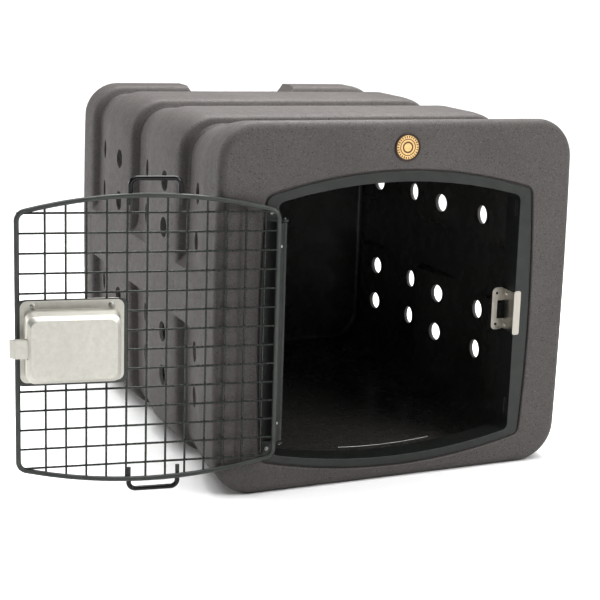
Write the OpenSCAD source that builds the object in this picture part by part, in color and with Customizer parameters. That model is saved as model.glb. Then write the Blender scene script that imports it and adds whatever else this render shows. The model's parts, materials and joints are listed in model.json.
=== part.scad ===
// Moulded dog kennel with a swinging wire door, door shown folded fully open.
// Millimetres. X to the right seen from the front, Y to the back, Z up.
// Origin on the floor under the middle of the shell. Depths below are counted from the front face.

/* [Shell] */
// Width of the shell at its corners
shell_w = 528; // [500:1:560]
// Height of the front collar
shell_h = 505; // [500:1:540]
// Depth of the shell from front face to back wall
shell_d = 712; // [705:1:740]
// Thickness of the moulded wall
wall = 5; // [4:0.5:7]
// Radius of the long corners
corner_r = 54; // [46:1:58]
// Outward bow of each side at mid height
side_bow = 4; // [2:0.5:6]
// Radius of a vent hole
vent_r = 15; // [12:0.5:18]

/* [Door opening] */
// Half width of the opening inside the metal frame
open_w = 183; // [182:0.5:186]
// Half width of the recess that holds the metal frame
recess_w = 202; // [200:0.5:205]
// Depth of the metal frame's return into the kennel
jamb_d = 38; // [32:1:46]

/* [Door] */
// Distance between the door's upright rods
door_w = 331; // [328:0.5:332]
// Thickness of the door's outer rod
rod_d = 6.35; // [5:0.05:6.5]
// Thickness of the mesh wire
wire_d = 2.7; // [2:0.1:3]
// Spacing of the mesh
pitch = 25.4; // [25:0.1:25.4]
// Angle through which the door swings from closed to folded back
open_angle = 188.8; // [90:0.1:188.8]

/* [Latch] */
// Height of the latch centre above the floor
latch_z = 226; // [224:0.5:228]

/* [Hidden] */
$fn = 48;

half_w = shell_w / 2;
rib_h = shell_h - 10.3;
valley_w = half_w - 18;
valley_top = rib_h - 15;
valley_r = corner_r - 9;
floor_z = 13;
raised = 0.6;
run_out = 2;
front_wall = 6;
front_edge_r = 12;
collar_end = 72;
collar_foot = 165;
rib_len = 128;
rib_tail = 88;
rib_starts = [184, 426];
flange_start = 653;
belt_low = 205;
belt_high = 287;
vent_rows = [106, 172, 327, 394];
first_vent_y = 122;
vent_pitch = 120.5;
vent_columns = [for (k = [0:4]) first_vent_y + k * vent_pitch];

open_low = 53;
open_high = 398;
open_rise = 24;
open_dip = 21;
recess_low = 44;
recess_high = 409;
recess_rise = 30;
recess_dip = 26;
recess_depth = 4;
frame_y = 1.2;
sheet = 2;
lip = 5;
sill_d = 53;

hinge_x = -177.5;
hinge_y = -6.5;
door_x = hinge_x + 10;
door_y = hinge_y + 10;
rod_r = rod_d / 2;
wire_r = wire_d / 2;
door_corner_r = 13;
bow_r = 634;
door_top = 412.3;
door_bottom = 37.5;
first_wire_u = 17.3;
first_wire_z = 390.5;
wires_across = 12;
wires_down = 14;
pin_r = 1.6;
barrel_r = 3.3;
barrel_low = 76;
barrel_high = 374;
ear_gap = 1;
ear_t = 3;

cover_u = 263.6;
cover_z = 227.3;
cover_w = 129;
cover_h = 106;
pan_inset = 5;
pan_top_inset = 11;
pan_rise = 35;
plate_y = door_y + rod_r + 0.1;
bolt_y = 31;
bolt_t = 8;
bolt_h = 24;
bolt_tip_u = 342;
bolt_back_u = 256;
paddle_pin_u = 295;
paddle_pin_y = 4.5;
loop_u = 159.2;
loop_half = 31.8;
loop_r = 2.6;
sleeve_r = 3.1;
loop_y = door_y - rod_r - loop_r;
loop_bend = 9;

// ---- outlines: lists of [across, up] points ----

function bend(cx, cz, r, a) = [for (k = [0:6]) [cx + r * cos(a + 15 * k), cz + r * sin(a + 15 * k)]];

function between(p, q, n) = n < 2 ? [] : [for (k = [1:n - 1]) p + (q - p) * k / n];

// A rounded rectangle, with extra points along its level and upright edges for bowing.
function rounded(w, z0, z1, r, level = 1, upright = 1) = concat(
    bend(w - r, z1 - r, r, 0), between([w - r, z1], [r - w, z1], level),
    bend(r - w, z1 - r, r, 90), between([-w, z1 - r], [-w, z0 + r], upright),
    bend(r - w, z0 + r, r, 180), between([r - w, z0], [w - r, z0], level),
    bend(w - r, z0 + r, r, 270), between([w, z0 + r], [w, z1 - r], upright));

// Swells an outline: the top rises, the bottom dips and the sides bow outwards.
function bowed(path, w, z0, z1, rise, dip, side) = [for (p = path)
    let (t = (2 * p[1] - z0 - z1) / (z1 - z0), s = p[0] / w)
    [p[0] + side * (1 - t * t) * s, p[1] + (t > 0 ? rise : dip) * (1 - s * s) * t]];

// Points are kept to a hundredth of a millimetre, so that flat sides stay exactly flat.
function body_outline(w, z0, z1, r) = [
    for (p = bowed(rounded(w, z0, z1, r, 1, 4), w, z0, z1, 0, 0, side_bow))
    [round(p[0] * 100) / 100, round(p[1] * 100) / 100]];

function opening_outline(e = 0) = bowed(
    rounded(open_w + e, open_low - e, open_high + e, 8 + e / 2, 10, 6),
    open_w + e, open_low - e, open_high + e, open_rise, open_dip, 1);

function recess_outline(e = 0) = bowed(
    rounded(recess_w - e, recess_low + e, recess_high - e, 9, 10, 6),
    recess_w - e, recess_low + e, recess_high - e, recess_rise, recess_dip, 7);

// ---- small helpers ----

// A flat outline drawn in X and Z, given depth from y0 to y1.
module slab(y0, y1, path) {
    translate([0, y1, 0]) rotate([90, 0, 0]) linear_extrude(y1 - y0) polygon(path);
}

module slice(y, path) {
    slab(y, y + 1, path);
}

module rod_z(x, y, z0, z1, r) {
    translate([x, y, z0]) cylinder(h = z1 - z0, r = r);
}

module rod_x(x0, x1, y, z, r) {
    translate([x0, y, z]) rotate([0, 90, 0]) cylinder(h = x1 - x0, r = r);
}

module rod_y(x, y0, y1, z, r) {
    translate([x, y1, z]) rotate([90, 0, 0]) cylinder(h = y1 - y0, r = r);
}

// A bent round rod in the X-Z plane: centre, bend radius and angles from +X towards +Z.
module rod_arc(x, y, z, bend_r, a0, a1, r) {
    translate([x, y, z]) rotate([90, 0, 0]) rotate([0, 0, a0])
        rotate_extrude(angle = a1 - a0, $fn = 96) translate([bend_r, 0]) circle(r, $fn = 24);
}

module plate(x0, x1, y0, y1, z0, z1, r) {
    slab(y0, y1, [for (p = rounded((x1 - x0) / 2, z0, z1, r)) [p[0] + (x0 + x1) / 2, p[1]]]);
}

module dome(x, y, z, r, out) {
    translate([x, y, z]) rotate(out) intersection() {
        translate([0, 0, -r * 0.75]) sphere(r * 1.25, $fn = 32);
        cylinder(h = r, r = r);
    }
}

// Moves a part drawn from the front face to the shell's own origin.
module placed() {
    translate([0, -shell_d / 2, 0]) children();
}

// Places a part drawn with the door closed where it lies with the door folded back.
module swung_open() {
    placed() translate([hinge_x, hinge_y, 0]) rotate([0, 0, -open_angle])
        translate([-hinge_x, -hinge_y, 0]) children();
}

// ---- kennel body ----

// Outline of the collar and ribs, inset by e, whose underside lies at height low.
function full_outline(w, top, low, e) = body_outline(w - e, low, top - e, max(corner_r - e, 5));

// The narrower section between the ribs. Slopes run out just under its surface.
function valley_outline(low, e) = body_outline(valley_w - e, low, valley_top - e, valley_r - e);

module collar_form() {
    edge = front_edge_r;
    soft = edge * 0.3;
    hull() {
        slice(0, full_outline(half_w, shell_h, raised + edge, edge));
        slice(soft, full_outline(half_w, shell_h, raised + soft, soft));
        slice(edge, full_outline(half_w, shell_h, raised, 0));
        slice(collar_end, full_outline(half_w, shell_h, raised, 0));
        slice(collar_foot, valley_outline(raised, run_out));
    }
}

// The hollow inside the collar.
module collar_hollow() {
    edge = front_edge_r;
    low = floor_z + raised;
    slab(front_wall, edge + 2, full_outline(half_w, shell_h, low + edge, edge));
    slab(edge + 1, collar_end, full_outline(half_w, shell_h, low, wall));
    hull() {
        slice(collar_end - 1, full_outline(half_w, shell_h, low, wall + 0.3));
        slice(collar_foot, valley_outline(low, wall + run_out));
    }
}

module rib_form(e, low, y) {
    edge = 8;
    rib_w = half_w - 2;
    hull() {
        slice(y + e, full_outline(rib_w, rib_h, low + edge, e + edge));
        slice(y + e + edge, full_outline(rib_w, rib_h, low, e));
        slice(y + rib_len, full_outline(rib_w, rib_h, low, e));
        slice(y + rib_len + rib_tail, valley_outline(low, e + run_out));
    }
}

module belt_form(e, y0, y1) {
    translate([e - half_w - 1, y0, belt_low + e])
        cube([shell_w + 2 - 2 * e, y1 - y0, belt_high - belt_low - 2 * e]);
}

module outer_form() {
    flange_edge = 5;
    rib_w = half_w - 2;
    slab(40, shell_d - 2 * flange_edge, valley_outline(0, 0));
    collar_form();
    for (y = rib_starts) rib_form(0, raised, y);
    belt_form(0, 42, shell_d - 20);
    difference() {
        union() {
            slab(flange_start, shell_d - flange_edge + 1, full_outline(rib_w, rib_h, raised, 0));
            slab(shell_d - flange_edge, shell_d,
                full_outline(rib_w, rib_h, raised + flange_edge, flange_edge));
        }
        tab_gap();
    }
}

// The flange's top is lower in the middle, which leaves a raised tab at each side.
module tab_gap() {
    gap_w = 92;
    plate(-gap_w, gap_w, flange_start - 20, shell_d + 1, valley_top + 3, shell_h + 40, 8);
}

module inner_form() {
    back = shell_d - 2 * wall;
    flange_w = half_w - 14;
    slab(40, back, valley_outline(floor_z, wall));
    collar_hollow();
    for (y = rib_starts) rib_form(wall, floor_z + raised, y);
    belt_form(wall, 44, back - 15);
    slab(flange_start + wall, back - 2, full_outline(flange_w, valley_top, floor_z + raised, wall));
}

module kennel_shell() {
    color("#5a5654") placed() difference() {
        union() {
            difference() {
                outer_form();
                inner_form();
            }
            slab(front_wall - 1, jamb_d - 6, opening_outline(sheet + 0.3 + lip));
            intersection() {
                slab(front_wall - 2, sill_d, opening_outline(sheet + lip));
                translate([-open_w, 0, 0]) cube([2 * open_w, 2 * sill_d, open_low]);
            }
        }
        slab(-1, sill_d + 1, opening_outline(sheet + 0.3));
        slab(-1, recess_depth, recess_outline());
        for (y = vent_columns, z = vent_rows)
            rod_x(-shell_w, -valley_w + 60, y, z, vent_r);
        for (y = vent_columns, z = vent_rows)
            rod_x(valley_w - 60, shell_w, y, z, vent_r);
    }
}

// Painted steel frame: a flat face in the recess and a return along the opening.
module door_frame() {
    slot_w = 7;
    color("#5d625d") placed() difference() {
        union() {
            slab(frame_y, frame_y + sheet, recess_outline(2.5));
            slab(frame_y, jamb_d, opening_outline(sheet));
        }
        slab(-1, jamb_d + 1, opening_outline());
        for (side = [-1, 1], z = [85, 378])
            translate([side * (open_w + 1) - 4, 10.5 - slot_w / 2, z - 12]) cube([8, slot_w, 24]);
    }
}

// Metal wear strip along the rear edge of the sill, following its bow.
module sill_trim() {
    strip_d = 3;
    left = -64;
    right = 80;
    color("#b9b9b6") placed() intersection() {
        difference() {
            slab(sill_d - strip_d, sill_d, opening_outline(sheet + 0.2));
            slab(sill_d - strip_d - 1, sill_d + 1, opening_outline(-1));
        }
        translate([left, 0, 0]) cube([right - left, 100, open_low]);
    }
}

badge_z = 469;
badge_r = 18;

module badge_disc() {
    color("#c9a669") placed() rod_y(0, -1.2, 0, badge_z, badge_r - 1.5);
}

module badge_bezel() {
    color("#3a2a1c") placed() difference() {
        rod_y(0, -1.9, 0, badge_z, badge_r + 1);
        rod_y(0, -3, 1, badge_z, badge_r - 1.5);
    }
}

// ---- hinge ----

// An L-shaped ear on the frame's face, which holds one end of the hinge pin.
module hinge_ear(z0, foot_z0, foot_z1) {
    color("#5d625d") placed() {
        difference() {
            union() {
                rod_z(hinge_x, hinge_y, z0, z0 + ear_t, 5);
                translate([-200, frame_y - sheet, z0]) cube([20, sheet, ear_t]);
                linear_ear(z0);
            }
            rod_z(hinge_x, hinge_y, z0 - 1, z0 + ear_t + 1, pin_r);
        }
        translate([-200, frame_y - sheet, foot_z0]) cube([14, sheet, foot_z1 - foot_z0]);
    }
}

module linear_ear(z0) {
    translate([0, 0, z0]) linear_extrude(ear_t)
        polygon([[-200, frame_y], [-186, frame_y], [hinge_x + 3.5, hinge_y + 3.5],
            [hinge_x - 3.5, hinge_y - 3.5]]);
}

module hinge_bracket_top() {
    z0 = barrel_high + ear_gap;
    hinge_ear(z0, z0, z0 + 18);
}

module hinge_bracket_bottom() {
    z1 = barrel_low - ear_gap;
    hinge_ear(z1 - ear_t, z1 - 18, z1);
}

module hinge_bracket_rivets() {
    color("#8d8f8c") placed() for (z = [barrel_high + ear_gap + 11, barrel_low - ear_gap - 11])
        dome(-193, frame_y - sheet, z, 3, [90, 0, 0]);
}

module hinge_pin() {
    overhang = 2;
    color("#9a9c9a") placed() rod_z(hinge_x, hinge_y, barrel_low - ear_gap - ear_t - overhang,
        barrel_high + ear_gap + ear_t + overhang, pin_r);
}

// ---- strike ----

strike_t = 1.5;
strike_back = 29.5;
strike_reach = 21;

// A Z-shaped striker: a leaf on the frame's face, a web along the jamb and a catch inside.
// The catch has two plain holes.
module strike_plate() {
    web_x = open_w - 0.1 - strike_t;
    catch_x = open_w - strike_reach;
    leaf_w = 9.5;
    color("#b9b7af") placed() difference() {
        union() {
            plate(web_x, open_w + leaf_w, frame_y - strike_t, frame_y, latch_z - 31.5, latch_z + 33, 3);
            translate([web_x, frame_y - strike_t, latch_z - 28])
                cube([strike_t, strike_back - frame_y + strike_t, 59]);
            plate(catch_x, open_w - 0.1, strike_back - strike_t, strike_back, latch_z - 29,
                latch_z + 33.5, 7);
        }
        translate([catch_x + 9, strike_back - 5, latch_z - 13]) cube([strike_reach, 8, 27]);
        translate([open_w + 0.2, frame_y, 0]) cube([20, 60, 500]);
        for (z = [latch_z - 21, latch_z + 25])
            rod_y(catch_x + 7.5, strike_back - 5, strike_back + 1, z, 1.8);
    }
}

module strike_rivets() {
    color("#c9c7c0") placed() for (z = [latch_z - 21, latch_z + 25])
        dome(open_w - 0.1 - strike_t, 22.5, z, 3.2, [0, -90, 0]);
}

// ---- door ----

bow_mid = door_w / 2;
fillet_rise = sqrt(pow(bow_r - door_corner_r, 2) - pow(bow_mid - door_corner_r, 2));
top_centre = door_top - bow_r;
bottom_centre = door_bottom + bow_r;
top_corner = top_centre + fillet_rise;
bottom_corner = bottom_centre - fillet_rise;
corner_turn = atan2(fillet_rise, bow_mid - door_corner_r);

// Height of the rod's centre line above or below a point u along the door.
function bow_top(u) = top_centre + sqrt(pow(bow_r, 2) - pow(u - bow_mid, 2));
function bow_bottom(u) = bottom_centre - sqrt(pow(bow_r, 2) - pow(u - bow_mid, 2));

// Each corner bend is a hair thicker than the rod and laps over the ends of its straight lengths.
bend_lap = 0.8 / door_corner_r * 180 / PI;
bend_rod_r = rod_r + 0.08;

// A rod bent to the bow of the door's top or bottom edge, centred on angle a.
module bow_rod(z, a) {
    half = 90 - corner_turn;
    rod_arc(door_x + bow_mid, door_y, z, bow_r, a - half, a + half, rod_r);
}

module corner_rod(x, z, a) {
    rod_arc(x, door_y, z, door_corner_r, a - bend_lap, a + corner_turn + bend_lap, bend_rod_r);
}

module door_rod_frame() {
    left = door_x + door_corner_r;
    right = door_x + door_w - door_corner_r;
    color("#5d625d") swung_open() {
        for (u = [0, door_w]) rod_z(door_x + u, door_y, bottom_corner, top_corner, rod_r);
        bow_rod(top_centre, 90);
        bow_rod(bottom_centre, 270);
        corner_rod(left, top_corner, 180 - corner_turn);
        corner_rod(right, top_corner, 0);
        corner_rod(left, bottom_corner, 180);
        corner_rod(right, bottom_corner, 360 - corner_turn);
    }
}

module latch_window() {
    translate([latch_left + 8, -60, latch_low + 8]) cube([cover_w - 16, 120, cover_h - 16]);
}

module vertical_wires() {
    y = door_y - wire_r + 0.1;
    color("#43483f") swung_open() difference() {
        for (k = [0:wires_across - 1]) {
            u = first_wire_u + k * pitch;
            rod_z(door_x + u, y, bow_bottom(u), bow_top(u), wire_r);
        }
        latch_window();
    }
}

module horizontal_wires() {
    y = door_y + wire_r - 0.1;
    color("#43483f") swung_open() for (k = [0:wires_down - 1]) {
        z = first_wire_z - k * pitch;
        at_latch = abs(z - cover_z) < cover_h / 2 - 8;
        rod_x(door_x, at_latch ? latch_left + 8 : door_x + door_w, y, z, wire_r);
    }
}

// Rolled strip along the door's hinge side. It turns on the pin.
module hinge_strip() {
    strip_t = 2;
    web_end = 0.77;
    reach = [door_x - hinge_x, door_y - hinge_y];
    side = [-reach[1], reach[0]] / norm(reach) * strip_t / 2;
    color("#7b7f79") swung_open() difference() {
        union() {
            rod_z(hinge_x, hinge_y, barrel_low, barrel_high, barrel_r);
            translate([hinge_x, hinge_y, barrel_low]) linear_extrude(barrel_high - barrel_low)
                polygon([side, reach * web_end + side, reach * web_end - side, -side]);
        }
        rod_z(hinge_x, hinge_y, barrel_low - 1, barrel_high + 1, pin_r + 0.05);
    }
}

module hinge_strip_rivets() {
    reach = [door_x - hinge_x, door_y - hinge_y];
    turn = atan2(reach[1], reach[0]);
    color("#c4c4bf") swung_open() for (z = [102, 343])
        translate([hinge_x, hinge_y, z]) rotate([0, 0, turn]) translate([7.2, 1, 0])
            dome(0, 0, 0, 2.2, [-90, 0, 0]);
}

// A U-shaped rod welded to the outer face of the door's rod. Way is 1 upwards, -1 downwards.
module pull_loop(z_tip, z_end, way, r) {
    x = door_x + loop_u;
    z_bend = z_end - way * loop_bend;
    for (side = [-1, 1]) {
        rod_z(x + side * loop_half, loop_y, min(z_tip, z_bend), max(z_tip, z_bend), r);
        rod_arc(x + side * (loop_half - loop_bend), loop_y, z_bend, loop_bend,
            way > 0 ? (side > 0 ? 0 : 90) : (side > 0 ? 270 : 180),
            way > 0 ? (side > 0 ? 90 : 180) : (side > 0 ? 360 : 270), r);
    }
    rod_x(x - loop_half + loop_bend, x + loop_half - loop_bend, loop_y, z_end, r);
}

top_loop_z = 433.2;
bottom_loop_z = 22.2;
sleeve_top_start = door_top + rod_r - 1;
sleeve_bottom_start = door_bottom - rod_r + 1;

module top_loop_rod() {
    color("#5d625d") swung_open() pull_loop(door_top - 13, top_loop_z, 1, loop_r);
}

module bottom_loop_rod() {
    color("#5d625d") swung_open() pull_loop(door_bottom + 14, bottom_loop_z, -1, loop_r);
}

module top_loop_sleeve() {
    color("#141414") swung_open() difference() {
        pull_loop(sleeve_top_start, top_loop_z, 1, sleeve_r);
        pull_loop(sleeve_top_start - 1, top_loop_z, 1, loop_r);
    }
}

module bottom_loop_sleeve() {
    color("#141414") swung_open() difference() {
        pull_loop(sleeve_bottom_start, bottom_loop_z, -1, sleeve_r);
        pull_loop(sleeve_bottom_start + 1, bottom_loop_z, -1, loop_r);
    }
}

// ---- latch, drawn on the closed door ----

latch_left = door_x + cover_u - cover_w / 2;
latch_right = door_x + cover_u + cover_w / 2;
latch_low = cover_z - cover_h / 2;
latch_high = cover_z + cover_h / 2;
case_half = 27;
case_left = latch_left + 24;
case_right = latch_right - 16;
case_low = latch_z - case_half;
case_high = latch_z + case_half;
case_back = bolt_y + bolt_t + 3;
flange_t = 1.2;
bolt_slack = 0.6;

module bolt_slot(grow = bolt_slack) {
    translate([case_right - 10, bolt_y - grow, latch_z - bolt_h / 2 - grow])
        cube([40, bolt_t + 2 * grow, bolt_h + 2 * grow]);
}

module latch_backing_plate() {
    margin = 4;
    color("#4a4e49") swung_open() difference() {
        plate(latch_left - margin, latch_right + margin, plate_y, plate_y + 1.5,
            latch_low - margin, latch_high + 1, 8);
        translate([case_left - 0.5, plate_y - 1, case_low - 0.5])
            cube([case_right - case_left + 1, 4, case_high - case_low + 1]);
    }
}

// Pressed stainless cover over the latch works, on the inside of the door.
module latch_cover() {
    y0 = plate_y + 1.5;
    y1 = y0 + pan_rise;
    draft = 4;
    pan_low = latch_low + pan_inset;
    pan_high = latch_high - pan_top_inset;
    color("#d7d6cf") swung_open() difference() {
        union() {
            plate(latch_left, latch_right, y0, y0 + flange_t, latch_low, latch_high, 9);
            pan(latch_left + pan_inset, latch_right - pan_inset, pan_low, pan_high, y0, y1, draft, 10);
        }
        pan(latch_left + pan_inset + flange_t, latch_right - pan_inset - flange_t,
            pan_low + flange_t, pan_high - flange_t, y0 - 0.1, y1 - flange_t, draft, 9);
        bolt_slot();
    }
}

module pan(x0, x1, z0, z1, y0, y1, draft, r) {
    hull() {
        plate(x0, x1, y0, y0 + 0.1, z0, z1, r);
        plate(x0 + draft * 0.5, x1 - draft * 0.5, y1 - 5, y1 - 4.9, z0 + draft * 0.5,
            z1 - draft * 0.5, r);
        plate(x0 + draft + 3, x1 - draft - 3, y1 - 0.1, y1, z0 + draft + 3, z1 - draft - 3, r);
    }
}

module latch_cover_screws() {
    inset_u = 16;
    inset_z = 6.7;
    y0 = plate_y + 1.5 + flange_t;
    color("#a9a8a1") swung_open()
        for (x = [latch_left + inset_u, latch_right - inset_u])
            dome(x, y0, latch_high - inset_z, 3.9, [-90, 0, 0]);
}

// Folded steel box that holds the paddle's pin and guides the bolt.
module latch_case() {
    t = 1.5;
    color("#9d9c96") swung_open() difference() {
        translate([case_left, paddle_dish_back, case_low])
            cube([case_right - case_left, case_back - paddle_dish_back, case_high - case_low]);
        translate([case_left + t, paddle_dish_back - 1, case_low + t])
            cube([case_right - case_left - 2 * t, case_back - paddle_dish_back + 1 - t,
                case_high - case_low - 2 * t]);
        bolt_slot(0.3);
        rod_z(door_x + paddle_pin_u, paddle_pin_y, case_low - 1, case_high + 1, 2);
    }
}

paddle_dish_back = door_y - rod_r - 0.1;
dish_t = 1.5;

// Outer escutcheon around the paddle.
module paddle_dish() {
    color("#c9c8c1") swung_open() difference() {
        plate(latch_left, latch_right, paddle_dish_back - dish_t, paddle_dish_back, latch_low,
            latch_high, 9);
        translate([case_left + 1.5, paddle_dish_back - 5, case_low + 1.5])
            cube([case_right - case_left - 3, 10, case_high - case_low - 3]);
    }
}

module paddle_pin() {
    color("#8f8d86") swung_open()
        rod_z(door_x + paddle_pin_u, paddle_pin_y, case_low, case_high, 2);
}

// Pull paddle with the tail that draws the bolt back.
module paddle_handle() {
    pin_x = door_x + paddle_pin_u;
    left = case_left + 6;
    half = 23;
    color("#bdbcb5") swung_open() difference() {
        union() {
            plate(left, pin_x + 4, paddle_dish_back - 3.4, paddle_dish_back - 1.2, latch_z - half,
                latch_z + half, 5);
            for (z = [latch_z - half, latch_z + half - 3])
                translate([pin_x - 5, paddle_dish_back - 2, z]) cube([9, 10, 3]);
            rod_z(pin_x, paddle_pin_y, latch_z - 6, latch_z + 6, 4);
            translate([pin_x - 2, paddle_dish_back - 2, latch_z - 6]) cube([4, 6, 12]);
            translate([pin_x - 2, paddle_pin_y, latch_z - 6])
                cube([4, bolt_y + bolt_t - 2 - paddle_pin_y, 12]);
        }
        rod_z(pin_x, paddle_pin_y, latch_z - half - 1, latch_z + half + 1, 2.05);
    }
}

module latch_bolt() {
    tip = door_x + bolt_tip_u;
    back = door_x + bolt_back_u;
    pin_x = door_x + paddle_pin_u;
    color("#b5b3ab") swung_open() difference() {
        translate([0, 0, latch_z - bolt_h / 2]) linear_extrude(bolt_h)
            polygon([[back, bolt_y], [tip, bolt_y], [tip, bolt_y + 2], [tip - 7, bolt_y + bolt_t],
                [back, bolt_y + bolt_t]]);
        translate([pin_x - 4, bolt_y - 1, latch_z - 7]) cube([9, bolt_t + 2, 14]);
        translate([back - 1, bolt_y - 1, latch_z - bolt_h]) cube([24, bolt_t + 2, bolt_h - 7]);
        translate([back - 1, bolt_y - 1, latch_z + 7]) cube([24, bolt_t + 2, bolt_h]);
    }
}

// Close-wound torsion spring on the paddle's pin, with one leg against the case and one behind the paddle.
module paddle_spring() {
    coils = 5;
    steps = 8;
    wire = 0.55;
    leg_r = 0.45;
    coil_r = 3.1;
    pin_x = door_x + paddle_pin_u;
    low = latch_z + 7.5;
    coil_h = 2 * wire;
    wave = [for (k = [0:coils * steps])
        [wire * (0.4 + 0.6 * abs(sin(180 * k / steps))), low + coil_h * k / steps]];
    inside = [for (k = [0:len(wave) - 1]) let (p = wave[len(wave) - 1 - k]) [coil_r - p[0], p[1]]];
    color("#cfcfca") swung_open() {
        translate([pin_x, paddle_pin_y, 0]) rotate_extrude($fn = 64)
            polygon(concat([for (p = wave) [coil_r + p[0], p[1]]], inside));
        rod_x(pin_x, case_right - 2, paddle_pin_y + coil_r, low + wire, leg_r);
        rod_x(pin_x - 22, pin_x, paddle_pin_y - coil_r, low + coil_h * (coils - 0.5), leg_r);
    }
}

kennel_shell();
door_frame();
sill_trim();
badge_disc();
badge_bezel();
hinge_bracket_top();
hinge_bracket_bottom();
hinge_bracket_rivets();
hinge_pin();
strike_plate();
strike_rivets();
door_rod_frame();
vertical_wires();
horizontal_wires();
hinge_strip();
hinge_strip_rivets();
top_loop_rod();
top_loop_sleeve();
bottom_loop_rod();
bottom_loop_sleeve();
latch_backing_plate();
latch_cover();
latch_cover_screws();
latch_case();
paddle_dish();
paddle_pin();
paddle_spring();
paddle_handle();
latch_bolt();
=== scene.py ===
"""Moulded dog kennel with its wire door folded open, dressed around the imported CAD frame.

Lengths in this file are millimetres unless a name ends in _m or _M. Depths are counted from the
front face. The frame's own boxes, the lights and the camera are in metres.
"""

import json
import math

import bmesh
import bpy
import numpy as np
from mathutils import Matrix, Vector


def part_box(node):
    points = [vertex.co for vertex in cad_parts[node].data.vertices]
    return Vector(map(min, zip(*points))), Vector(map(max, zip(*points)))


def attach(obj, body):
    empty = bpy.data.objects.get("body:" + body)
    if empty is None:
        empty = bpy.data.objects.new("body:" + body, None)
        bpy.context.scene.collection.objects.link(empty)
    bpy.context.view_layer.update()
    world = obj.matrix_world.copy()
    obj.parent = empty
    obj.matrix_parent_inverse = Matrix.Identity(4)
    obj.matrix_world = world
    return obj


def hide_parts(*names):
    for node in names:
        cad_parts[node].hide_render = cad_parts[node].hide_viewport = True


MM = 0.001
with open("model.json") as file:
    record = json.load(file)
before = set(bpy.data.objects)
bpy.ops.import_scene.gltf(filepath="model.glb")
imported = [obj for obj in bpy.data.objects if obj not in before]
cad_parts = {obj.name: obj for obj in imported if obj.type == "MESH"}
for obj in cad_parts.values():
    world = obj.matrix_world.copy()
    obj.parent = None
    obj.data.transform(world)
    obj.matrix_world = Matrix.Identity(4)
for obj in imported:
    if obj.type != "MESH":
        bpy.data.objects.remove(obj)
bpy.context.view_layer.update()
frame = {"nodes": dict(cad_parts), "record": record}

shell_low, shell_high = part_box("kennel_shell")
FRONT_M = shell_low.y
HEIGHT = shell_high.z / MM
DEPTH = (shell_high.y - shell_low.y) / MM
SIDE_BOW = 4
HALF_W = (shell_high.x - shell_low.x) / MM / 2 - SIDE_BOW
WALL = 5


# ---- materials ----


class Nodes:
    """Short names for adding and wiring one material's nodes."""

    def __init__(self, name):
        self.material = bpy.data.materials.new(name)
        self.material.use_nodes = True
        self.tree = self.material.node_tree
        self.shader = self.tree.nodes["Principled BSDF"]
        self.coords = self.add("ShaderNodeTexCoord").outputs["Object"]

    def add(self, kind, **settings):
        node = self.tree.nodes.new(kind)
        for key, value in settings.items():
            setattr(node, key, value)
        return node

    def join(self, source, target):
        self.tree.links.new(source, target)

    def feed(self, value, socket):
        """Links another node's output to a socket, or sets a constant on it."""
        if isinstance(value, bpy.types.NodeSocket):
            self.join(value, socket)
        elif isinstance(value, tuple):
            socket.default_value = (*value, 1)
        else:
            socket.default_value = value

    def noise(self, scale, detail=3.0, rough=0.5, stretch=None):
        node = self.add("ShaderNodeTexNoise")
        node.inputs["Scale"].default_value = scale
        node.inputs["Detail"].default_value = detail
        node.inputs["Roughness"].default_value = rough
        source = self.coords
        if stretch:
            mapping = self.add("ShaderNodeMapping")
            mapping.inputs["Scale"].default_value = stretch
            self.join(self.coords, mapping.inputs["Vector"])
            source = mapping.outputs["Vector"]
        self.join(source, node.inputs["Vector"])
        return node.outputs["Fac"]

    def ramp(self, value, stops):
        node = self.add("ShaderNodeValToRGB")
        elements = node.color_ramp.elements
        while len(elements) < len(stops):
            elements.new(0.5)
        for element, (place, colour) in zip(elements, stops, strict=True):
            element.position = place
            element.color = (*colour, 1)
        self.join(value, node.inputs["Fac"])
        return node.outputs["Color"]

    def mix(self, fac, a, b):
        """Colour a where fac is 0 and b where it is 1."""
        node = self.add("ShaderNodeMix", data_type="RGBA")
        fac_socket, a_socket, b_socket = 0, 6, 7
        self.feed(fac, node.inputs[fac_socket])
        self.feed(a, node.inputs[a_socket])
        self.feed(b, node.inputs[b_socket])
        colour_out = 2
        return node.outputs[colour_out]

    def calc(self, operation, a, b=0.0):
        node = self.add("ShaderNodeMath", operation=operation)
        self.feed(a, node.inputs[0])
        self.feed(b, node.inputs[1])
        return node.outputs["Value"]

    def span(self, value, low, high):
        """Stretches a noise's usual range, 0.3 to 0.7, to run from low to high."""
        node = self.add("ShaderNodeMapRange")
        node.inputs["From Min"].default_value = 0.3
        node.inputs["From Max"].default_value = 0.7
        node.inputs["To Min"].default_value = low
        node.inputs["To Max"].default_value = high
        self.join(value, node.inputs["Value"])
        return node.outputs["Result"]

    def bump(self, height, strength, distance_m):
        node = self.add("ShaderNodeBump")
        node.inputs["Strength"].default_value = strength
        node.inputs["Distance"].default_value = distance_m
        self.join(height, node.inputs["Height"])
        self.join(node.outputs["Normal"], self.shader.inputs["Normal"])

    def set(self, **values):
        for key, value in values.items():
            self.feed(value, self.shader.inputs[key.replace("_", " ")])
        return self.material


BLACK, WHITE = (0, 0, 0), (1, 1, 1)


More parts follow.
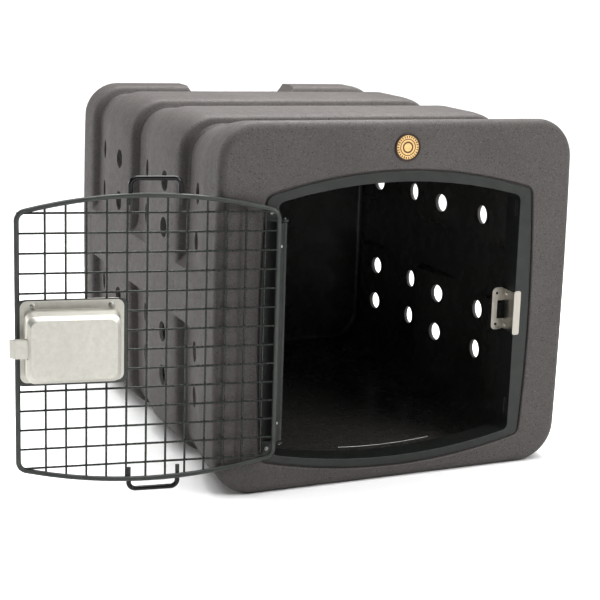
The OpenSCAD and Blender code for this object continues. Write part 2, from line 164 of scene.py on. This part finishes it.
def speckled_plastic():
    """Rotomoulded polyethylene: warm grey with fine pale and dark grains and a faint orange peel."""
    n = Nodes("speckled_plastic")
    cloud = n.noise(7, 4)
    body = n.mix(n.span(cloud, 0, 1), (0.080, 0.0735, 0.0710), (0.098, 0.0905, 0.0875))
    pale = n.ramp(n.noise(720, 2), [(0.60, BLACK), (0.70, WHITE)])
    dark = n.ramp(n.noise(430, 2, stretch=(1.1, 0.9, 1)), [(0.30, WHITE), (0.41, BLACK)])
    colour = n.mix(pale, body, (0.150, 0.141, 0.137))
    colour = n.mix(dark, colour, (0.042, 0.039, 0.038))
    n.bump(n.noise(260, 3), 0.4, 0.0007)
    return n.set(Base_Color=colour, Roughness=n.span(n.noise(90, 3), 0.60, 0.74), Specular_IOR_Level=0.4)


def shaded_inner_plastic():
    """The moulding's inner skin: the same grey plastic, painted a little darker as shade inside the kennel,
    and half glossy.
    """
    n = Nodes("inner_plastic")
    # Painted shade: the inner skin's grey runs darker than the outer plastic's, standing in for the shade
    # inside.
    colour = n.mix(n.span(n.noise(420, 2), 0, 1), (0.058, 0.0555, 0.0520), (0.098, 0.0935, 0.0880))
    n.bump(n.noise(150, 4), 0.22, 0.0008)
    return n.set(Base_Color=colour, Roughness=n.span(n.noise(40, 4), 0.20, 0.34), Specular_IOR_Level=0.55)


BADGE_Z, BADGE_R = 469, 18
BEADS = 26
BEAD_EDGE = 0.62


def badge_face():
    """Satin gold with plain dark rings and a ring of small beads."""
    n = Nodes("badge_gold")
    split = n.add("ShaderNodeSeparateXYZ")
    n.join(n.coords, split.inputs["Vector"])
    across = split.outputs["X"]
    up = n.calc("SUBTRACT", split.outputs["Z"], BADGE_Z * MM)
    reach = n.calc("SQRT", n.calc("ADD", n.calc("MULTIPLY", across, across), n.calc("MULTIPLY", up, up)))
    reach = n.calc("DIVIDE", reach, BADGE_R * MM)
    rings = n.ramp(reach, [
        (0.0, WHITE), (0.30, WHITE), (0.34, BLACK), (0.42, BLACK), (0.46, WHITE),
        (0.56, WHITE), (0.60, BLACK), (0.63, BLACK), (0.67, WHITE),
    ])
    turn = n.calc("ARCTAN2", up, across)
    wave = n.calc("COSINE", n.calc("MULTIPLY", turn, BEADS))
    beads = n.calc("ADD", n.calc("MULTIPLY", wave, 0.5), 0.5)
    band = n.ramp(reach, [(0.70, BLACK), (0.74, WHITE), (0.86, WHITE), (0.90, BLACK)])
    marks = n.calc("MULTIPLY", n.calc("GREATER_THAN", beads, BEAD_EDGE), band)
    gold = n.mix(n.span(n.noise(300, 3), 0, 1), (0.56, 0.39, 0.18), (0.74, 0.54, 0.28))
    brown = (0.11, 0.055, 0.03)
    colour = n.mix(marks, n.mix(rings, brown, gold), brown)
    n.bump(rings, 0.3, 0.0004)
    return n.set(Base_Color=colour, Metallic=0.35, Roughness=n.span(n.noise(120, 3), 0.38, 0.5))


def powder_coat(name, low, high, rough):
    """Satin powder coat with a fine orange peel."""
    n = Nodes(name)
    colour = n.mix(n.span(n.noise(60, 4), 0, 1), low, high)
    n.bump(n.noise(700, 2), 0.25, 0.0003)
    return n.set(Base_Color=colour, Roughness=n.span(n.noise(150, 3), rough - 0.06, rough + 0.08))


def brushed(name, low, high, rough, stretch):
    """Bare metal: fine grain, drawn out where stretch is uneven, with faint smears."""
    n = Nodes(name)
    streak = n.noise(scale=1, detail=5, rough=0.7, stretch=stretch)
    colour = n.mix(n.span(streak, 0, 1), low, high)
    colour = n.mix(n.span(n.noise(25, 3), 0, 0.35), colour, low)
    n.bump(streak, 0.12, 0.0002)
    return n.set(Base_Color=colour, Metallic=1.0, Roughness=n.span(streak, rough - 0.08, rough + 0.10))


MATERIALS = {
    "moulded_plastic": speckled_plastic(),
    "inner": shaded_inner_plastic(),
    "frame_paint": powder_coat("frame_paint", (0.020, 0.023, 0.021), (0.030, 0.033, 0.030), 0.40),
    "backing_paint": powder_coat("backing_paint", (0.040, 0.044, 0.040), (0.052, 0.057, 0.052), 0.4),
    "sleeve_plastic": powder_coat("sleeve_plastic", (0.003, 0.003, 0.003), (0.006, 0.006, 0.006), 0.12),
    "badge_dark": powder_coat("badge_dark", (0.030, 0.016, 0.010), (0.05, 0.028, 0.016), 0.35),
    # Painted highlight: the rods get the frame's grey-green made lighter, standing in for the light they
    # catch.
    "rod_paint_highlit": powder_coat("rod_paint_highlit", (0.040, 0.045, 0.041), (0.056, 0.062, 0.057), 0.36),
    "galvanised_wire": brushed(
        "galvanised_wire", (0.046, 0.050, 0.046), (0.078, 0.084, 0.077), 0.26, (300, 300, 300)),
    "stainless": brushed("stainless", (0.47, 0.46, 0.425), (0.61, 0.60, 0.56), 0.52, (12, 900, 120)),
    "strike_steel": brushed(
        "strike_steel", (0.35, 0.335, 0.305), (0.47, 0.45, 0.415), 0.34, (900, 900, 14)),
    "bright_stainless": brushed(
        "bright_stainless", (0.66, 0.65, 0.60), (0.84, 0.83, 0.77), 0.3, (900, 900, 14)),
    "zinc_steel": brushed("zinc_steel", (0.30, 0.30, 0.285), (0.45, 0.45, 0.42), 0.34, (600, 600, 60)),
    "trim_aluminium": brushed("trim_aluminium", (0.42, 0.42, 0.40), (0.56, 0.56, 0.54), 0.4, (30, 900, 900)),
    "badge_gold": badge_face(),
}


# ---- the shell's form ----

RIB_W = HALF_W - 2
VALLEY_W = RIB_W - 16
RIB_TOP = HEIGHT - 10.3
VALLEY_TOP = RIB_TOP - 15
CORNER_R = 54
VALLEY_R = 45
LEAST_CORNER_R = 5
FRONT_R = 12
BACK_R = 6
BELT_W = HALF_W - 3
BELT_LOW, BELT_HIGH = 205, 287
SCOOP = 26
LEDGE = 5
SIDE_START = 0.93
TAB_GAP = 92
TAB_FLANK = 4
TAB_EASE = 9
FLANGE_START = 651
FLANGE_LEAD = 6
FLOOR = 13

# The collar tapers a little over its length, and its taper has gone by the foot of its slope.
COLLAR_END = 72
COLLAR_FADE = 165
TAPER_W, TAPER_H = 3, 6.4

# The valleys get a little wider towards the back.
VALLEY_ENDS = (176, 408, 646)
VALLEY_DRIFT = (-2.5, -0.5, 1.5)

# Steps behind a rib's front edge, then how far the section has swelled there.
SHOULDER = [(0, 0), (1, 0.42), (3, 0.66), (6.5, 0.82), (13, 0.92), (24, 0.97), (41, 1)]


def shoulder(y):
    return [(y + step, amount) for step, amount in SHOULDER]


# Depth, then how far the section has swelled from valley (0) to full rib (1).
COLLAR = [(0, 1), (COLLAR_END, 1), (COLLAR_FADE, 0.03), (176, 0)]
FRONT_RIB = [*shoulder(184), (308, 1), (314, 0.95), (398, 0.04), (408, 0)]
REAR_RIB = [*shoulder(426), (548, 1), (555, 0.95), (638, 0.04), (646, 0)]
FLANGE = [(653, 0), (654.5, 0.5), (657, 0.8), (661, 0.95), (666, 1), (DEPTH, 1)]
SWELL = [*COLLAR, *FRONT_RIB, *REAR_RIB, *FLANGE]
SWELL_BLUR = 1.2


def swell(y):
    """The swell at a depth, averaged over a short stretch so that its corners are soft."""
    offsets = np.linspace(-SWELL_BLUR, SWELL_BLUR, 5)
    depths, amounts = zip(*SWELL, strict=True)
    return float(np.mean(np.interp(y + offsets, depths, amounts)))


def along(y, depths, values):
    return float(np.interp(y, depths, values))


def section(y, thickness=0):
    """Half width, top and corner radius of the shell at a depth, at its thinnest within a wall's reach."""
    s = min(swell(y + shift) for shift in (-thickness, 0, thickness))
    collar_depths = [FRONT_R, COLLAR_END, COLLAR_FADE]
    full_w = along(y, collar_depths, [HALF_W, HALF_W - TAPER_W, RIB_W])
    full_top = along(y, collar_depths, [HEIGHT, HEIGHT - TAPER_H, RIB_TOP])
    valley_w = VALLEY_W + along(y, VALLEY_ENDS, VALLEY_DRIFT)
    return (
        valley_w + (full_w - valley_w) * s,
        VALLEY_TOP + (full_top - VALLEY_TOP) * s,
        VALLEY_R + (CORNER_R - VALLEY_R) * s,
    )


# Heights of the side's points, close together at the belt's two edges.
SIDE_LEVELS = np.concatenate([
    np.linspace(50, 196, 26), np.linspace(199, 214, 11), np.linspace(220, 280, 9),
    np.linspace(284, 318, 24), np.linspace(324, 436, 20),
])
SIDE_STEPS = (SIDE_LEVELS - SIDE_LEVELS[0]) / (SIDE_LEVELS[-1] - SIDE_LEVELS[0])
TOP_STEPS = np.linspace(0, 1, 80)
BOTTOM_STEPS = np.linspace(0, 1, 24)
ARC = np.radians(np.linspace(0, 90, 14))[1:-1]


def ring(w, top, low, r):
    """A rounded rectangle as points across and up, starting at the lower end of the right side."""
    side = low + r + SIDE_STEPS * (top - low - 2 * r)
    reach = (w - r) * (1 - 2 * TOP_STEPS)
    base = (w - r) * (2 * BOTTOM_STEPS - 1)

    def corner(cx, cz, start):
        return np.stack([cx + r * np.cos(ARC + start), cz + r * np.sin(ARC + start)], 1)

    quarter = math.pi / 2
    return np.concatenate([
        np.stack([np.full_like(side, w), side], 1),
        corner(w - r, top - r, 0),
        np.stack([reach, np.full_like(reach, top)], 1),
        corner(r - w, top - r, quarter),
        np.stack([np.full_like(side, -w), side[::-1]], 1),
        corner(r - w, low + r, 2 * quarter),
        np.stack([base, np.full_like(base, low)], 1),
        corner(w - r, low + r, 3 * quarter),
    ])


def eased_step(share):
    """0 up to 0 and 1 from 1 on, with a smooth climb between."""
    share = np.clip(share, 0, 1)
    return share * share * (3 - 2 * share)


def belt(z):
    """1 on the flush belt round the sides, 0 in the recesses, with a scoop above and a ledge below."""
    above = np.clip((BELT_HIGH + SCOOP - z) / SCOOP, 0, 1)
    scooped = 1 - np.sqrt(1 - above**2)
    return scooped * eased_step((z - BELT_LOW) / LEDGE)


def shell_ring(y, low, inset, thickness=0):
    """The shell's outline at a depth, moved in by inset, with the belt, the bow and the rear tabs."""
    w, top, r = section(y, thickness)
    points = ring(w - inset, top - inset, low, max(r - inset, LEAST_CORNER_R))
    across, up = points[:, 0], points[:, 1]
    side = np.abs(across) / (w - inset)
    gain = max(BELT_W - w, 0) * belt(up) * (side > SIDE_START)
    middle = (2 * up - low - top) / (top - low)
    across += np.sign(across) * (gain + SIDE_BOW * (1 - middle**2) * side)
    if y > FLANGE_START - FLANGE_LEAD:
        lift = eased_step((np.abs(across) - TAB_GAP + TAB_FLANK) / TAB_EASE)
        ceiling = VALLEY_TOP - inset + 1
        up[:] = np.where(up > ceiling, ceiling + (up - ceiling) * lift, up)
    return np.stack([across, np.full_like(across, y), up], 1)


FINEST_STEP, WIDEST_STEP = 1.0, 9
STEP_SWELL = 1.2
CALM_CHANGE = 0.12


def depth_steps(start, end):
    """Depths from start to end, close together where the section changes fast."""
    steps = [start]
    while steps[-1] < end - FINEST_STEP / 2:
        y = steps[-1]
        change = abs(swell(y + 2) - swell(y - 2)) + abs(swell(y + 4) - swell(y))
        steps.append(y + float(np.clip(STEP_SWELL / (change + CALM_CHANGE), FINEST_STEP, WIDEST_STEP)))
    steps[-1] = end
    return steps


OUTER, INNER = 0, 1


def loft(name, rings, material_index=OUTER):
    """A closed mesh through equal rings of points, capped at both ends."""
    count = len(rings[0])
    points = np.concatenate(rings) * MM
    points[:, 1] += FRONT_M
    faces = []
    for k in range(len(rings) - 1):
        base = k * count
        for i in range(count):
            j = (i + 1) % count
            faces.append((base + i, base + j, base + count + j, base + count + i))
    faces.append(tuple(range(count)))
    last = (len(rings) - 1) * count
    faces.append(tuple(range(last + count - 1, last - 1, -1)))
    mesh = bpy.data.meshes.new(name)
    mesh.from_pydata([tuple(p) for p in points], [], faces)
    bm = bmesh.new()
    bm.from_mesh(mesh)
    bmesh.ops.recalc_face_normals(bm, faces=bm.faces)
    bm.to_mesh(mesh)
    bm.free()
    mesh.polygons.foreach_set("material_index", [material_index] * len(mesh.polygons))
    obj = bpy.data.objects.new(name, mesh)
    bpy.context.scene.collection.objects.link(obj)
    return obj


def outer_solid():
    """The whole outer form, with rounded front and back edges."""
    turn = np.radians(np.linspace(0, 90, 8))
    front = [(FRONT_R * (1 - math.cos(a)), FRONT_R * (1 - math.sin(a))) for a in turn]
    back = [(DEPTH - BACK_R * (1 - math.sin(a)), BACK_R * (1 - math.cos(a))) for a in turn]
    body = [(y, 0) for y in depth_steps(FRONT_R + 1, DEPTH - BACK_R - 1)]
    rings = [shell_ring(y, inset, inset) for y, inset in front + body + back]
    return loft("outer", rings)


def inner_solid():
    """The hollow inside, one wall in from the outer form, with soft ends."""
    start, end, soft = 7, DEPTH - 2 * WALL, 8
    front = [start + step for step in (0, 2, 4, 6)]
    back = [end - step for step in (5, 3, 1, 0)]
    rings = []
    for y in front + depth_steps(start + soft, end - soft) + back:
        ends = max(0, (start + soft - y) / soft, (y - end + soft) / soft)
        extra = soft * (1 - math.sqrt(1 - min(ends, 1) ** 2))
        rings.append(shell_ring(y, FLOOR + extra, WALL + extra, WALL))
    return loft("inner", rings, INNER)


# ---- the doorway ----

OPEN_W, OPEN_LOW, OPEN_HIGH = 183, 53, 398
RECESS_W, RECESS_LOW, RECESS_HIGH = 202, 44, 409
OPEN_R, OPEN_RISE, OPEN_DIP, OPEN_BOW = 8, 24, 21, 1
RECESS_R, RECESS_RISE, RECESS_DIP, RECESS_BOW = 9, 30, 26, 7
JAMB_DEPTH = 32
LIP = 5
SHEET_GAP = 2.3
CLEAR = 5
PAST_JAMB = 40
ARC_POINTS = 8
LINE_POINTS = 28


def bowed_outline(w, z0, z1, r, rise, dip, bow):
    """A rounded rectangle whose top rises, bottom dips and sides bow outwards."""
    arc = np.radians(np.linspace(0, 90, ARC_POINTS))
    line = np.linspace(0, 1, LINE_POINTS + 1)[1:-1]
    parts = []
    for cx, cz, start, nxt in (
        (w - r, z1 - r, 0, (r - w, z1)), (r - w, z1 - r, 90, (-w, z0 + r)),
        (r - w, z0 + r, 180, (w - r, z0)), (w - r, z0 + r, 270, (w, z1 - r)),
    ):
        turn = arc + math.radians(start)
        bend = np.stack([cx + r * np.cos(turn), cz + r * np.sin(turn)], 1)
        parts += [bend, bend[-1] + (np.array(nxt) - bend[-1]) * line[:, None]]
    p = np.concatenate(parts)
    t = (2 * p[:, 1] - z0 - z1) / (z1 - z0)
    s = p[:, 0] / w
    return np.stack([
        p[:, 0] + bow * (1 - t * t) * s,
        p[:, 1] + np.where(t > 0, rise, dip) * (1 - s * s) * t,
    ], 1)


def opening(e):
    """The doorway's outline, grown by e."""
    return bowed_outline(
        OPEN_W + e, OPEN_LOW - e, OPEN_HIGH + e, OPEN_R + e / 2, OPEN_RISE, OPEN_DIP, OPEN_BOW)


def recess(e):
    """The outline of the seat round the metal frame, shrunk by e."""
    return bowed_outline(
        RECESS_W - e, RECESS_LOW + e, RECESS_HIGH - e, RECESS_R - e / 2, RECESS_RISE, RECESS_DIP, RECESS_BOW)


def prism(name, layers, material_index=OUTER):
    """A solid through outlines at given depths."""
    rings = []
    for y, outline in layers:
        rings.append(np.stack([outline[:, 0], np.full(len(outline), y), outline[:, 1]], 1))
    return loft(name, rings, material_index)


def combine(base, tool, operation):
    """Applies a solid boolean to base and drops the tool."""
    modifier = base.modifiers.new("cut", "BOOLEAN")
    modifier.operation = operation
    modifier.object = tool
    modifier.solver = "MANIFOLD"
    modifier.material_mode = "INDEX"
    bake(base)
    bpy.data.objects.remove(tool)


def bake(obj):
    """Replaces an object's mesh with the result of its modifiers."""
    evaluated = obj.evaluated_get(bpy.context.evaluated_depsgraph_get())
    mesh = bpy.data.meshes.new_from_object(evaluated)
    obj.modifiers.clear()
    obj.data = mesh


SHARP_ANGLE = 32
FLAT_FACE_WEIGHT = 80


def smooth(obj):
    """Smooth shading that keeps real edges sharp and flat faces flat."""
    obj.data.shade_smooth()
    obj.data.set_sharp_from_angle(angle=math.radians(SHARP_ANGLE))
    weights = obj.modifiers.new("normals", "WEIGHTED_NORMAL")
    weights.keep_sharp = True
    weights.weight = FLAT_FACE_WEIGHT
    bake(obj)


def tube(x, y, z, r, length):
    """A closed cylinder that lies across the kennel, centred on a point."""
    sides = 48
    mesh = bpy.data.meshes.new("tube")
    bm = bmesh.new()
    bmesh.ops.create_cone(
        bm, cap_ends=True, segments=sides, radius1=r * MM, radius2=r * MM, depth=length * MM
    )
    bm.to_mesh(mesh)
    bm.free()
    turn = Vector((0, 0, 1)).rotation_difference(Vector((1, 0, 0))).to_matrix().to_4x4()
    mesh.transform(Matrix.Translation((x * MM, y * MM + FRONT_M, z * MM)) @ turn)
    obj = bpy.data.objects.new("tube", mesh)
    bpy.context.scene.collection.objects.link(obj)
    return obj


VENT_R = 15
VENT_ROWS = (106, 172, 327, 394)
FIRST_VENT, VENT_PITCH, VENT_COUNT = 122, 120.5, 5
VENT_CUT = 140
VENT_CUT_IN = 10

# The seat's depths and how far its outline stands in there, with a soft outer edge.
SEAT = [(-4, -3), (0, -1.6), (0.6, -0.7), (1.6, 0), (4, 0)]


def doorway(shell):
    """Adds the lip behind the front wall, then cuts the doorway and the seat round it."""
    lip, hole = opening(SHEET_GAP + LIP), opening(SHEET_GAP)
    # The lip and the doorway's cut faces take the inner skin, with its painted shade.
    combine(shell, prism("lip", [(WALL, lip), (JAMB_DEPTH, lip)], INNER), "UNION")
    combine(shell, prism("hole", [(-CLEAR, hole), (JAMB_DEPTH + PAST_JAMB, hole)], INNER), "DIFFERENCE")
    combine(shell, prism("seat", [(y, recess(inset)) for y, inset in SEAT]), "DIFFERENCE")


def vents():
    """The tools for all the vent holes, as one object."""
    tools = None
    for column in range(VENT_COUNT):
        for z in VENT_ROWS:
            for side in (-1, 1):
                y = FIRST_VENT + VENT_PITCH * column
                tool = tube(side * (VALLEY_W - VENT_CUT_IN), y, z, VENT_R, VENT_CUT)
                if tools is None:
                    tools = tool
                else:
                    tools.data = merged(tools, tool)
    return tools


def kennel_shell():
    shell = outer_solid()
    for name in ("moulded_plastic", "inner"):
        shell.data.materials.append(MATERIALS[name])
    combine(shell, inner_solid(), "DIFFERENCE")
    doorway(shell)
    combine(shell, vents(), "DIFFERENCE")
    shell.name = "kennel_shell_skin"
    smooth(shell)
    return shell


def merged(a, b):
    """One mesh from two objects' meshes. The second object is dropped."""
    bm = bmesh.new()
    bm.from_mesh(a.data)
    bm.from_mesh(b.data)
    mesh = bpy.data.meshes.new("merged")
    bm.to_mesh(mesh)
    bm.free()
    bpy.data.objects.remove(b)
    return mesh


def place(obj, body, node, slot):
    """Ties a piece to its body and hides the CAD part it stands for. The slot is not used."""
    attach(obj, body)
    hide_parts(node)


place(kennel_shell(), "kennel", "kennel_shell", "moulded_plastic")


# ---- metal parts, with their edges eased ----


WELD_M = 2e-6
FLAT_ANGLE = 0.6
EASE_STEPS = 3
EASE_ANGLE = 25


def finish_and_highlight(node):
    """A part's material: its slot's, or a slightly different one. For the rods this is a lighter paint that
    is painted highlight.
    """
    return MATERIALS[FINISH_AND_HIGHLIGHT.get(node, slots[node])]


def eased(node, width):
    """A copy of a CAD part with its sharp edges rounded, standing for that part."""
    source = frame["nodes"][node]
    mesh = source.data.copy()
    bm = bmesh.new()
    bm.from_mesh(mesh)
    bmesh.ops.remove_doubles(bm, verts=bm.verts, dist=WELD_M)
    flat = math.radians(FLAT_ANGLE)
    bmesh.ops.dissolve_limit(
        bm, angle_limit=flat, verts=bm.verts, edges=bm.edges, use_dissolve_boundaries=False
    )
    bm.to_mesh(mesh)
    bm.free()
    obj = bpy.data.objects.new(node + "_eased", mesh)
    bpy.context.scene.collection.objects.link(obj)
    mesh.materials.clear()
    mesh.materials.append(finish_and_highlight(node))
    bevel = obj.modifiers.new("ease", "BEVEL")
    bevel.width = width * MM
    bevel.segments = EASE_STEPS
    bevel.limit_method = "ANGLE"
    bevel.angle_limit = math.radians(EASE_ANGLE)
    bake(obj)
    smooth(obj)
    place(obj, body_names[node], node, slots[node])


record = frame["record"]
body_names = {n: b for b, nodes in record["behaviour"]["bodies"].items() for n in nodes}
slots = {s["node"]: s["material_slot"] for s in record["subparts"]}

# Nodes whose material differs a little from their slot's. The rods' lighter paint is the frame's paint with
# painted highlight.
FINISH_AND_HIGHLIGHT = {
    "strike_plate": "strike_steel",
    "strike_rivets": "bright_stainless",
    "door_rod_frame": "rod_paint_highlit",
    "top_loop_rod": "rod_paint_highlit",
    "bottom_loop_rod": "rod_paint_highlit",
}

# How wide the eased edges of each part are.
EASED = {
    "door_frame": 0.8, "sill_trim": 0.5, "badge_disc": 0.3, "badge_bezel": 0.4,
    "hinge_bracket_top": 0.5, "hinge_bracket_bottom": 0.5, "strike_plate": 0.4,
    "latch_backing_plate": 0.4, "latch_cover": 0.5, "latch_case": 0.4, "paddle_dish": 0.4,
    "paddle_handle": 0.6, "latch_bolt": 0.8, "hinge_strip": 0.3,
}
for node, width in EASED.items():
    eased(node, width)

for node, obj in frame["nodes"].items():
    if node not in EASED and node != "kennel_shell":
        obj.data.materials.clear()
        obj.data.materials.append(finish_and_highlight(node))


# ---- floor, light and camera ----


FLOOR_REACH_M = 120
FLOOR_DROP_M = 0.0005


def stage_floor():
    mesh = bpy.data.meshes.new("floor")
    turns = ((-1, -1), (1, -1), (1, 1), (-1, 1))
    corners = [(x * FLOOR_REACH_M, y * FLOOR_REACH_M, 0) for x, y in turns]
    mesh.from_pydata(corners, [], [(0, 1, 2, 3)])
    floor = bpy.data.objects.new("floor", mesh)
    bpy.context.scene.collection.objects.link(floor)
    n = Nodes("pale_floor")
    colour = n.mix(n.span(n.noise(3, 4), 0, 1), (0.93, 0.93, 0.93), (0.95, 0.95, 0.95))
    mesh.materials.append(n.set(Base_Color=colour, Roughness=0.9))
    floor.location.z = -FLOOR_DROP_M


def area_light(name, place_m, aim_m, size_m, watts):
    data = bpy.data.lights.new(name, "AREA")
    data.shape = "RECTANGLE"
    data.size, data.size_y = size_m
    data.energy = watts
    light = bpy.data.objects.new(name, data)
    light.location = place_m
    light.rotation_euler = (Vector(aim_m) - Vector(place_m)).to_track_quat("-Z", "Y").to_euler()
    bpy.context.scene.collection.objects.link(light)


# Sine of the elevation, then the sky's brightness there.
SKY = [(-1.0, 1.05), (0.06, 1.05), (0.10, 0.10), (0.74, 0.10), (0.84, 2.6), (1.0, 2.6)]
SKY_PEAK = 2.6


def sky():
    """A plain studio surround: a white band at the horizon, dim above it and bright overhead."""
    world = bpy.data.worlds.new("studio")
    world.use_nodes = True
    tree = world.node_tree
    background = tree.nodes["Background"]
    coords = tree.nodes.new("ShaderNodeTexCoord")
    split = tree.nodes.new("ShaderNodeSeparateXYZ")
    rise = tree.nodes.new("ShaderNodeMapRange")
    rise.inputs["From Min"].default_value = -1.0
    levels = tree.nodes.new("ShaderNodeValToRGB")
    elements = levels.color_ramp.elements
    while len(elements) < len(SKY):
        elements.new(0.5)
    for element, (height, level) in zip(elements, SKY, strict=True):
        element.position = (height + 1) / 2
        element.color = (*[level / SKY_PEAK] * 3, 1)
    tree.links.new(coords.outputs["Generated"], split.inputs["Vector"])
    tree.links.new(split.outputs["Z"], rise.inputs["Value"])
    tree.links.new(rise.outputs["Result"], levels.inputs["Fac"])
    tree.links.new(levels.outputs["Color"], background.inputs["Color"])
    background.inputs["Strength"].default_value = SKY_PEAK
    bpy.context.scene.world = world


def studio():
    stage_floor()
    sky()
    area_light("overhead", (0.1, 0.12, 1.3), (0, 0.12, 0.4), (0.8, 1.0), 17)
    area_light("left", (-2.2, 1.4, 0.9), (0, 0.15, 0.25), (0.9, 1.1), 25)
    area_light("front", (1.1, -2.0, 1.5), (0, -0.3, 0.3), (1.0, 1.0), 32)


CAMERA_AT_M = (-0.86426, FRONT_M - 1.71479, 0.69606)
YAW, PITCH, ROLL = 25.70, 11.44, -2.37
LENS, SENSOR = 85.7, 36
SHIFT = (-0.128, -0.061)
EXPOSURE, GAMMA = 0.25, 0.78


def camera():
    yaw, pitch, roll = (math.radians(v) for v in (YAW, PITCH, ROLL))
    ahead = Vector((math.sin(yaw) * math.cos(pitch), math.cos(yaw) * math.cos(pitch), -math.sin(pitch)))
    level = Vector((math.cos(yaw), -math.sin(yaw), 0))
    down = ahead.cross(level)
    right = level * math.cos(roll) + down * math.sin(roll)
    down = down * math.cos(roll) - level * math.sin(roll)
    data = bpy.data.cameras.new("camera")
    data.lens = LENS
    data.sensor_width = SENSOR
    data.shift_x, data.shift_y = SHIFT
    view = bpy.data.objects.new("camera", data)
    axes = Matrix((right, -down, -ahead)).transposed().to_4x4()
    view.matrix_world = Matrix.Translation(CAMERA_AT_M) @ axes
    bpy.context.scene.collection.objects.link(view)
    bpy.context.scene.camera = view
    view_settings = bpy.context.scene.view_settings
    view_settings.view_transform = "Standard"
    view_settings.exposure = EXPOSURE
    view_settings.gamma = GAMMA


studio()
camera()
